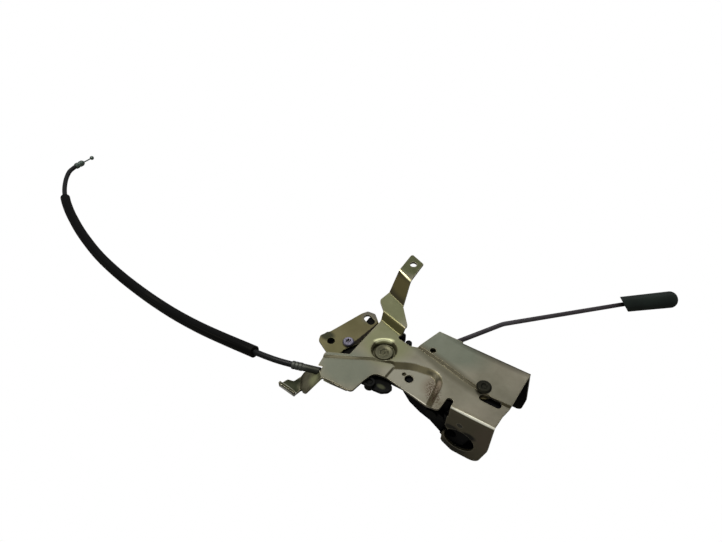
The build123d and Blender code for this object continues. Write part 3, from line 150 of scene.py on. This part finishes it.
class Nodes:
    """A material's node tree, with short ways to add what the finishes share. They give and take sockets."""

    def __init__(self, name):
        self.material = bpy.data.materials.new(name)
        self.material.use_nodes = True
        self.tree = self.material.node_tree
        self.tree.nodes.clear()
        self.shader = self.add("ShaderNodeBsdfPrincipled")
        self.join(self.shader.outputs["BSDF"], self.add("ShaderNodeOutputMaterial").inputs["Surface"])
        self.place = self.add("ShaderNodeTexCoord").outputs["Object"]

    def add(self, kind, **values):
        """A new node with its settings."""
        node = self.tree.nodes.new(kind)
        for key, value in values.items():
            setattr(node, key, value)
        return node

    def join(self, value, socket):
        """Feeds a socket from another one, or sets it to a number or a colour."""
        if isinstance(value, bpy.types.NodeSocket):
            self.tree.links.new(value, socket)
        elif isinstance(value, tuple):
            socket.default_value = (*value, 1.0)
        else:
            socket.default_value = value

    def noise(self, scale, detail, rough, vector=None):
        """Noise over the object's coordinates, or over a vector."""
        node = self.add("ShaderNodeTexNoise")
        node.inputs["Scale"].default_value = scale
        node.inputs["Detail"].default_value = detail
        node.inputs["Roughness"].default_value = rough
        self.join(self.place if vector is None else vector, node.inputs["Vector"])
        return node.outputs["Fac"]

    def ramp(self, source, stops):
        """A band of colours over a socket's values, where one number stands for a grey."""
        node = self.add("ShaderNodeValToRGB")
        band = node.color_ramp
        while len(band.elements) < len(stops):
            band.elements.new(0.5)
        for element, (at, colour) in zip(band.elements, stops):
            element.position = at
            shade = colour if isinstance(colour, tuple) else (colour,) * 3
            element.color = (*shade, 1.0)
        self.join(source, node.inputs["Fac"])
        return node.outputs["Color"]

    def mix(self, mask, a, b, blend="MIX"):
        """One colour taken towards another by a mask."""
        node = self.add("ShaderNodeMix", data_type="RGBA", blend_type=blend)
        self.join(mask, node.inputs[MIX_FACTOR])
        self.join(a, node.inputs[MIX_A])
        self.join(b, node.inputs[MIX_B])
        return node.outputs[MIX_RESULT]

    def parts(self, vector):
        """The X, Y and Z of a vector."""
        node = self.add("ShaderNodeSeparateXYZ")
        self.join(vector, node.inputs["Vector"])
        return node.outputs

    def rounded(self, reach):
        """The normal, rounded over the edges within a reach."""
        node = self.add("ShaderNodeBevel", samples=BEVEL_SAMPLES)
        node.inputs["Radius"].default_value = reach
        return node.outputs["Normal"]

    def normal(self):
        """The true normal."""
        return self.add("ShaderNodeNewGeometry").outputs["Normal"]

    def stretched(self, scale):
        """Object coordinates, scaled along each axis."""
        node = self.add("ShaderNodeMapping")
        node.inputs["Scale"].default_value = scale
        self.join(self.place, node.inputs["Vector"])
        return node.outputs["Vector"]

    def local(self, at, turn, unit=(1.0, 1.0, 1.0)):
        """Object coordinates from a place in millimetres, turned in plan by degrees, in units by axis."""
        node = self.add("ShaderNodeMapping", vector_type="TEXTURE")
        node.inputs["Location"].default_value = [v * MM for v in at]
        node.inputs["Rotation"].default_value = (0, 0, math.radians(turn))
        node.inputs["Scale"].default_value = unit
        self.join(self.place, node.inputs["Vector"])
        return node.outputs["Vector"]

    def spot(self, at, radii, turn=0.0):
        """A soft mask, 1 at a place and 0 beyond the radii, in millimetres, turned in plan by degrees."""
        ball = self.add("ShaderNodeTexGradient", gradient_type="SPHERICAL")
        self.join(self.local(at, turn, [v * MM for v in radii]), ball.inputs["Vector"])
        return ball.outputs["Fac"]

    def tint(self, colour, at, radii, shade, strength, turn=0.0):
        """The colour, taken towards a shade around a place."""
        mask = self.ramp(self.spot(at, radii, turn), [(0.0, 0.0), (0.45, strength)])
        return self.mix(mask, colour, shade)

    def wear_and_glint(self, reach, strength):
        """A mask of the outer edges, from the rounded normal and the true one."""
        dot = self.add("ShaderNodeVectorMath", operation="DOT_PRODUCT")
        self.join(self.rounded(reach), dot.inputs[0])
        self.join(self.normal(), dot.inputs[1])
        return self.ramp(dot.outputs["Value"], [(0.72, strength), (0.88, 0.0)])

    def side(self, at, turn, soft, ragged):
        """A mask that is 1 right of a ragged line in plan through a place, turned from Y by degrees."""
        across = self.add("ShaderNodeMath", operation="MULTIPLY_ADD")
        self.join(self.noise(SHADOW_AND_DIRT_BORDER, 3, 0.6), across.inputs[0])
        across.inputs[1].default_value = ragged * MM
        self.join(self.parts(self.local((*at, 0.0), turn))["X"], across.inputs[2])
        span = self.add("ShaderNodeMapRange")
        span.inputs["From Min"].default_value = 0.5 * ragged * MM
        span.inputs["From Max"].default_value = (0.5 * ragged + soft) * MM
        self.join(across.outputs["Value"], span.inputs["Value"])
        return span.outputs["Result"]

    def slope(self, soft):
        """A mask that is 1 on pressed walls and 0 on level and upright faces, with rounded borders."""
        upward = self.parts(self.rounded(soft))["Z"]
        return self.ramp(upward, [(0.25, 0.0), (0.5, 1.0), (0.91, 1.0), (0.96, 0.0)])

    def streaks(self):
        """A mask of thin lines that run along X, side by side round a tube."""
        lane = self.add("ShaderNodeCombineXYZ")
        self.join(self.parts(self.normal())["Z"], lane.inputs["X"])
        self.join(self.parts(self.place)["X"], lane.inputs["Y"])
        lines = self.noise(STREAK_LANES, 2, 0.5, lane.outputs["Vector"])
        return self.ramp(lines, [(0.56, 0.0), (0.64, 0.8)])

    def rings(self, pitch):
        """The height of slightly uneven rings across X."""
        wave = self.add("ShaderNodeTexWave", wave_type="BANDS", bands_direction="X")
        wave.inputs["Scale"].default_value = 2 * math.pi / (WAVE_RADIANS * pitch)
        wave.inputs["Distortion"].default_value = 1.5
        self.join(self.place, wave.inputs["Vector"])
        return wave.outputs["Fac"]

    def bump(self, height, strength, distance, bevel):
        """Sets the shader's normal from a height and, where there is a bevel, from rounded edges."""
        node = self.add("ShaderNodeBump")
        node.inputs["Strength"].default_value = strength
        node.inputs["Distance"].default_value = distance
        self.join(height, node.inputs["Height"])
        if bevel:
            self.join(self.rounded(bevel), node.inputs["Normal"])
        self.join(node.outputs["Normal"], self.shader.inputs["Normal"])


def passivated(name, dark, light, tint, rough, bevel=0.35 * MM, tints=(), shadow_and_dirt=None, painted_wall_shade=None,
               rust=(), lit=(), edge=0.8):
    """Yellow-zinc passivated steel: softly blotched, tinted by place with painted shade among the tints, a
    painted shadow with dirt and painted shade on walls where asked, worn edges with painted glints, painted
    highlights and shade by place, painted shade in corners, finely scratched.
    """
    m = Nodes(name)
    colour = m.ramp(m.noise(BLOTCHES, 5, 0.55), [(0.36, dark), (0.66, light)])
    colour = m.mix(m.ramp(m.noise(SHIMMER, 2, 0.5), [(0.42, 0.0), (0.75, 0.4)]), colour, tint)
    # Tints by place; some are painted shade
    for place in tints:
        colour = m.tint(colour, *place)
    # Painted shadow of the bracket's edge, mottled with dirt, right of a ragged line
    if shadow_and_dirt:
        at, turn, shade = shadow_and_dirt
        shadow_and_dirt_colour = m.ramp(m.noise(SHADOW_AND_DIRT, 4, 0.7), [(0.45, shade), (0.7, scaled(shade, 2.0))])
        colour = m.mix(m.side(at, turn, SHADOW_AND_DIRT_SOFT, SHADOW_AND_DIRT_RAGGED), colour, shadow_and_dirt_colour)
    # Painted shade on the pressed walls
    if painted_wall_shade:
        colour = m.mix(m.slope(WALL_SOFT), colour, painted_wall_shade)
    # Outer edges lightened all round, as wear and as painted glints
    if edge:
        worn_and_glints = tuple(min(1.0, WORN_AND_GLINT_GAIN * c) for c in light)
        colour = m.mix(m.wear_and_glint(WEAR_AND_GLINT_REACH, edge), colour, worn_and_glints)
    # Painted highlights and painted shade by place
    for at, radii, turn, shade in lit:
        colour = m.tint(colour, at, radii, shade, 1.0, turn)
    for at, radii, turn in rust:
        dots = m.ramp(m.noise(RUST_DOTS, 2, 0.5), [(0.49, 0.0), (0.56, 0.9)])
        patch = m.ramp(m.spot(at, radii, turn), [(0.0, 0.0), (0.5, 1.0)])
        colour = m.mix(m.mix(1.0, dots, patch, "MULTIPLY"), colour, RUST)
    scratch = m.noise(SCRATCHES, 3, 0.5, m.stretched(SCRATCH_DRAW))
    colour = m.mix(m.ramp(scratch, [(0.64, 0.0), (0.76, 0.16)]), colour, light)
    # Painted shade in corners and creases, from ambient occlusion
    corner = m.add("ShaderNodeAmbientOcclusion", samples=CORNER_SAMPLES)
    corner.inputs["Distance"].default_value = CORNER_REACH
    shadow = m.ramp(corner.outputs["AO"], [(0.35, CORNER_SHADE), (0.85, 1.0)])
    m.join(m.mix(1.0, colour, shadow, "MULTIPLY"), m.shader.inputs["Base Color"])
    grain = m.noise(STEEL_GRAIN, 4, 0.6)
    m.join(m.ramp(grain, [(0.3, rough - 0.06), (0.75, rough + 0.08)]), m.shader.inputs["Roughness"])
    m.join(METALLIC, m.shader.inputs["Metallic"])
    m.bump(grain, 0.06, 0.2 * MM, bevel)
    return m


def black(name, colour, rough, scale, depth, bevel=0.3 * MM, rings=0.0, sheen=0.1, streaks=None, worn_and_glints=()):
    """Black plastic or paint with a fine grain; ringed across X, streaked along it or given painted glints
    where asked.
    """
    m = Nodes(name)
    tone = m.noise(BLACK_TONE, 3, 0.5)
    base = m.ramp(tone, [(0.35, scaled(colour, 0.7)), (0.7, scaled(colour, 1.3))])
    if streaks:
        base = m.mix(m.streaks(), base, streaks)
    # Painted glints
    for at, radii, shade in worn_and_glints:
        base = m.tint(base, at, radii, shade, 0.9)
    m.join(base, m.shader.inputs["Base Color"])
    grain = m.noise(scale, 3, 0.6)
    m.join(m.ramp(grain, [(0.3, rough - 0.07), (0.7, rough + 0.08)]), m.shader.inputs["Roughness"])
    m.join(sheen, m.shader.inputs["Specular IOR Level"])
    m.bump(m.rings(rings) if rings else grain, 0.25, depth, bevel)
    return m


def paint(node, m):
    """Gives a CAD node one material."""
    slots = nodes[node].data.materials
    slots.clear()
    slots.append(m.material)


# Where the bracket's colour departs from its average, in places as painted shade: place, reach, shade,
# strength and, if any, turn
BRACKET_TINTS = [
    ((2, 0, 0), (30, 20, 12), srgb(137, 134, 119), 0.75),
    ((18, 3, 0), (10, 12, 5), srgb(116, 105, 88), 0.6),
    ((12, 40, 4), (40, 22, 20), srgb(96, 102, 88), 0.75),
    # Painted shade along the fold between the deck and the back portion
    ((20, 22, 3), (50, 7, 5), srgb(88, 84, 68), 0.8, -14),
    ((-31, 20, 2), (26, 26, 10), srgb(110, 111, 80), 0.85),
    ((-46, -16, 1), (30, 22, 8), srgb(101, 104, 90), 0.85),
    ((-42, 52, 8), (22, 30, 12), srgb(97, 99, 68), 0.85),
    ((-44, 90, 24.5), (22, 21, 6), srgb(72, 74, 48), 1.0),
    ((-83, -41, -21.5), (18, 14, 9), srgb(46, 49, 32), 1.0),
    # Painted shade on the front flange's face
    ((52, -9, -30), (50, 7, 50), srgb(104, 98, 78), 0.95),
    ((72, -9, -16), (16, 5, 22), srgb(112, 100, 84), 0.8),
    # Darker at the mouth's left, and painted shade that widens its dark at its upper right
    ((42, -8.5, -21.5), (8, 4, 4), srgb(24, 24, 24), 0.8),
    ((56, -8.5, -22.5), (7, 4, 5), srgb(10, 10, 9), 0.95),
    # Painted shade on the flange's lower strip
    ((46, -8.5, -46), (14, 5, 8), srgb(60, 58, 50), 0.8),
    # Painted shade on the rear flange's inner face, under the top plate
    ((52, 50, -24), (70, 9, 40), srgb(20, 18, 12), 0.98),
]
# Painted highlights on bends and walls that catch the light, and painted shade on those that hide from it:
# place, reach, turn and shade
BRACKET_LIT = [
    ((58, -7, 1.9), (30, 1.15, 1.3), 0, srgb(252, 248, 226)),
    ((20, 22.7, 3.4), (50, 3.5, 1.1), -14, srgb(128, 121, 98)),
    ((17.5, 11.2, 1.2), (10, 8, 1.4), 0, srgb(44, 41, 29)),
    ((13.3, -12.7, 0), (26, 1.0, 0.6), -8, srgb(196, 190, 172)),
    ((24.5, 4.5, 1.2), (6, 9, 1.3), 0, srgb(130, 117, 98)),
    ((-54, -10, 1.65), (20, 3, 0.95), 26.6, srgb(168, 160, 128)),
    ((-33, -0.2, 1.65), (12, 3, 0.95), 24, srgb(128, 124, 96)),
    ((-35, 37.5, 5), (26, 6, 4), -15.7, srgb(104, 100, 60)),
    ((-42, 67, 16.5), (22, 10, 9), -22, srgb(108, 99, 62)),
    ((-44, 73.2, 24), (14, 1.0, 1.0), -27, srgb(250, 243, 190)),
    ((-33.5, 20.2, 1.5), (9.5, 3.2, 3.6), 31, srgb(238, 238, 188)),
    ((-74, -36, -12), (13, 12, 11), 0, srgb(146, 142, 116)),
    ((-60, -32, -8), (13, 10, 9), 0, srgb(190, 193, 146)),
    ((-84.7, -44.8, -22), (14, 2.6, 3), -7, srgb(235, 235, 225)),
]
bracket = passivated(
    "bracket_zinc", srgb(108, 104, 88), srgb(132, 127, 110), srgb(130, 116, 102), 0.38, 0.3 * MM,
    # The pressed walls get painted shade, and BRACKET_LIT paints highlights and shade
    BRACKET_TINTS, painted_wall_shade=srgb(78, 72, 50), rust=[((22.5, -3, 0), (16, 7, 6), -53)], lit=BRACKET_LIT)
PLATE_TINTS = [
    # Painted shade at the plate's left corner
    ((-80, 7.5, -7.5), (8, 6, 3), srgb(40, 42, 28), 0.9),
    ((-60, 44, -7.5), (9, 10, 4), srgb(92, 88, 80), 0.8),
]
plate = passivated(
    "plate_zinc", srgb(80, 77, 48), srgb(100, 96, 66), srgb(96, 82, 60), 0.4, 0.5 * MM, PLATE_TINTS,
    # A painted shadow on the back plate: a dark strip with dirt in it
    shadow_and_dirt=((-56.2, 20.0), -14.0, srgb(18, 13, 4)))
cover = passivated("cover_zinc", srgb(92, 86, 56), srgb(116, 108, 78), srgb(112, 92, 68), 0.4, 0.3 * MM)
steel = passivated("dark_steel", srgb(56, 56, 46), srgb(96, 94, 82), srgb(88, 80, 76), 0.4)
zinc = passivated("bright_zinc", srgb(84, 82, 90), srgb(118, 114, 126), srgb(104, 98, 118), 0.34, 0.3 * MM)
rivet = passivated(
    "rivet_zinc", srgb(72, 71, 54), srgb(90, 88, 69), srgb(84, 80, 63), 0.42, 0.4 * MM,
    [((-29.1, 12.5, 4), (5, 5, 9), srgb(64, 62, 44), 0.8)])
dark_rivet = passivated("dark_rivet", srgb(22, 21, 13), srgb(38, 37, 26), srgb(30, 27, 18), 0.45, 0.3 * MM)
ferrule = passivated(
    "ferrule_zinc", srgb(40, 41, 34), srgb(58, 59, 51), srgb(50, 49, 44), 0.5, 0.4 * MM,
    [((-85.5, -33.8, -3.2), (15, 8, 8), srgb(82, 83, 77), 0.9),
     ((-59.6, -26.5, -3.2), (5.5, 5.5, 8), srgb(12, 14, 8), 1.0)])
fitting = passivated("fitting_zinc", srgb(56, 68, 60), srgb(104, 114, 106), srgb(80, 90, 82), 0.36, 0.2 * MM)
wire = passivated(
    "wire_steel", srgb(140, 140, 140), srgb(195, 195, 195), srgb(170, 168, 165), 0.35, 0.1 * MM,
    [((-25.1, -16.7, -5.0), (9, 9, 14), srgb(9, 9, 6), 1.0)], edge=0)
rod = passivated("rod_steel", srgb(58, 54, 56), srgb(94, 90, 92), srgb(82, 70, 74), 0.42, 0.1 * MM)
black_paint = black(
    "black_paint", srgb(6, 6, 4), 0.5, 900, 0.05 * MM,
    # A painted glint near the lever's end
    worn_and_glints=[((-16.4, -14.2, -6), (4.5, 2.4, 4), srgb(70, 72, 52))])
moulded = black("moulded_black", srgb(7, 7, 8), 0.5, 1400, 0.05 * MM)
rubber = black("black_rubber", srgb(6, 5, 3), 0.75, 700, 0.08 * MM)
grip = black("grip_black", srgb(20, 28, 22), 0.5, 1600, 0.06 * MM, 0.5 * MM, sheen=0.2)
sheath_black = black("sheath_black", srgb(14, 15, 14), 0.45, 900, 0.04 * MM, 0, sheen=0.2)
sleeve_black = black("sleeve_black", srgb(3, 3, 2), 0.5, 700, 0.15 * MM, 0, 2.4 * MM, 0.08, srgb(26, 24, 17))

FINISHES = {
    "main_bracket": bracket, "back_plate": plate, "pivot_rivet": rivet, "pivot_washer": steel,
    "release_spring": steel, "release_lever": black_paint, "release_link": black_paint,
    "claw": moulded, "pawl": moulded, "claw_pin": steel, "pawl_pin": black_paint, "claw_spring": steel,
    "pawl_spring": steel, "lock_case": moulded, "case_cover": cover, "cover_screws": zinc,
    "case_rivet": dark_rivet, "stop_block": rubber, "plate_screw": zinc, "cable_ferrule": ferrule,
    "end_fitting": fitting, "inner_wire": wire, "ball_end": fitting, "lock_lever": cover,
    "lock_rod": rod, "rod_clip": rubber, "rod_knob": grip, "cable_sheath": sheath_black,
    "cable_sleeve": sleeve_black,
}
for name, finish in FINISHES.items():
    paint(name, finish)


def put(name, data):
    """A new object of some data, in the scene."""
    thing = bpy.data.objects.new(name, data)
    bpy.context.scene.collection.objects.link(thing)
    return thing


def aim(thing, at, ahead):
    """Stands a light or camera at a place, looking ahead along a vector."""
    thing.location = at
    thing.rotation_mode = "QUATERNION"
    thing.rotation_quaternion = ahead.to_track_quat("-Z", "Y")


# Cable sheath: a smooth line through the route, bored at its far end for the wire
def cable_tube(name, points, radius, bore, depth):
    """A closed tube round a NURBS line, with a blind bore in its last end, and the line's own points."""
    data = bpy.data.curves.new(name, "CURVE")
    data.dimensions = "3D"
    data.bevel_resolution = 6
    data.resolution_u = 10
    data.use_fill_caps = True
    spline = data.splines.new("NURBS")
    spline.points.add(len(points) - 1)
    for point, at in zip(spline.points, points):
        point.co = (*at, 1.0)
    spline.order_u = 3
    spline.use_endpoint_u = True
    line = put(name + "_curve", data)
    made = []
    for thickness in (0.0, radius):
        data.bevel_depth = thickness
        seen = line.evaluated_get(bpy.context.evaluated_depsgraph_get())
        made.append(bpy.data.meshes.new_from_object(seen))
    bare_line, tube = made
    path = [tuple(vertex.co) for vertex in bare_line.vertices]
    bpy.data.objects.remove(line)
    mesh = bmesh.new()
    mesh.from_mesh(tube)
    bmesh.ops.remove_doubles(mesh, verts=mesh.verts, dist=WELD)
    # The far cap is a fan of triangles, which become one face for the bore
    end = Vector(points[-1])
    inward = (Vector(points[-2]) - end).normalized()
    caps = [face for face in mesh.faces
            if face.normal.dot(inward) < -CAP_FACING and (face.calc_center_median() - end).length < radius]
    cap = bmesh.ops.dissolve_faces(mesh, faces=caps)["region"][0]
    bmesh.ops.inset_region(mesh, faces=[cap], thickness=radius - bore, use_even_offset=True)
    sunk = bmesh.ops.extrude_discrete_faces(mesh, faces=[cap])["faces"][0]
    bmesh.ops.translate(mesh, verts=sunk.verts, vec=inward * depth)
    for face in mesh.faces:
        face.smooth = len(face.verts) == 4
    mesh.to_mesh(tube)
    mesh.free()
    return put(name, tube), path


sheath, sheath_path = cable_tube("sheath_line", CABLE_ROUTE, SHEATH_RADIUS, SHEATH_BORE, SHEATH_BORE_DEPTH)
sheath.data.materials.append(sheath_black.material)
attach(sheath, "frame")
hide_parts("cable_sheath")


def white_to_camera(owner, output, kind, colour, white_kind):
    """Makes a material or a world pure white to the camera, and one colour to every other ray."""
    owner.use_nodes = True
    tree = owner.node_tree
    tree.nodes.clear()
    others = tree.nodes.new(kind)
    others.inputs["Color"].default_value = (*colour, 1.0)
    white = tree.nodes.new(white_kind)
    white.inputs["Color"].default_value = (*WHITE, 1.0)
    ray = tree.nodes.new("ShaderNodeLightPath")
    blend = tree.nodes.new("ShaderNodeMixShader")
    tree.links.new(ray.outputs["Is Camera Ray"], blend.inputs[0])
    tree.links.new(others.outputs[0], blend.inputs[1])
    tree.links.new(white.outputs[0], blend.inputs[2])
    tree.links.new(blend.outputs[0], tree.nodes.new(output).inputs["Surface"])
    return others


# Floor
floor_data = bpy.data.meshes.new("floor")
floor_mesh = bmesh.new()
bmesh.ops.create_grid(floor_mesh, x_segments=1, y_segments=1, size=FLOOR_SIZE)
floor_mesh.to_mesh(floor_data)
floor_mesh.free()
floor = put("floor", floor_data)
floor.location.z = CAD_BOX[0][2] - FLOOR_GAP
floor_look = bpy.data.materials.new("floor_white")
white_to_camera(
    floor_look, "ShaderNodeOutputMaterial", "ShaderNodeBsdfDiffuse", FLOOR_GREY, "ShaderNodeEmission")
floor_data.materials.append(floor_look)

# World
world = bpy.data.worlds.new("room")
bpy.context.scene.world = world
room = white_to_camera(
    world, "ShaderNodeOutputWorld", "ShaderNodeBackground", ROOM_GREY, "ShaderNodeBackground")
room.inputs["Strength"].default_value = ROOM_STRENGTH


# Lights
def softbox(name, at, size, power, colour):
    """An area light at a place, turned to the origin."""
    data = bpy.data.lights.new(name, "AREA")
    data.shape = "RECTANGLE"
    data.size, data.size_y = size
    data.energy = power
    data.color = colour
    aim(put(name, data), at, -Vector(at))


softbox("overhead", (-0.50, -0.03, 1.10), (0.32, 0.32), 8.0, (1.0, 0.99, 0.95))
softbox("back", (-0.4, 1.1, 1.1), (1.3, 0.6), 4.0, (0.97, 0.99, 1.0))

# Camera
camera_data = bpy.data.cameras.new("camera")
camera_data.lens = LENS
camera_data.sensor_width = SENSOR
camera_data.clip_start = 0.01
camera = put("camera", camera_data)
turn, tilt = math.radians(AZIMUTH), math.radians(ELEVATION)
aim(camera, CAMERA_AT, Vector(
    (-math.sin(turn) * math.cos(tilt), math.cos(turn) * math.cos(tilt), -math.sin(tilt))))
bpy.context.scene.camera = camera
bpy.context.scene.view_settings.view_transform = "Standard"
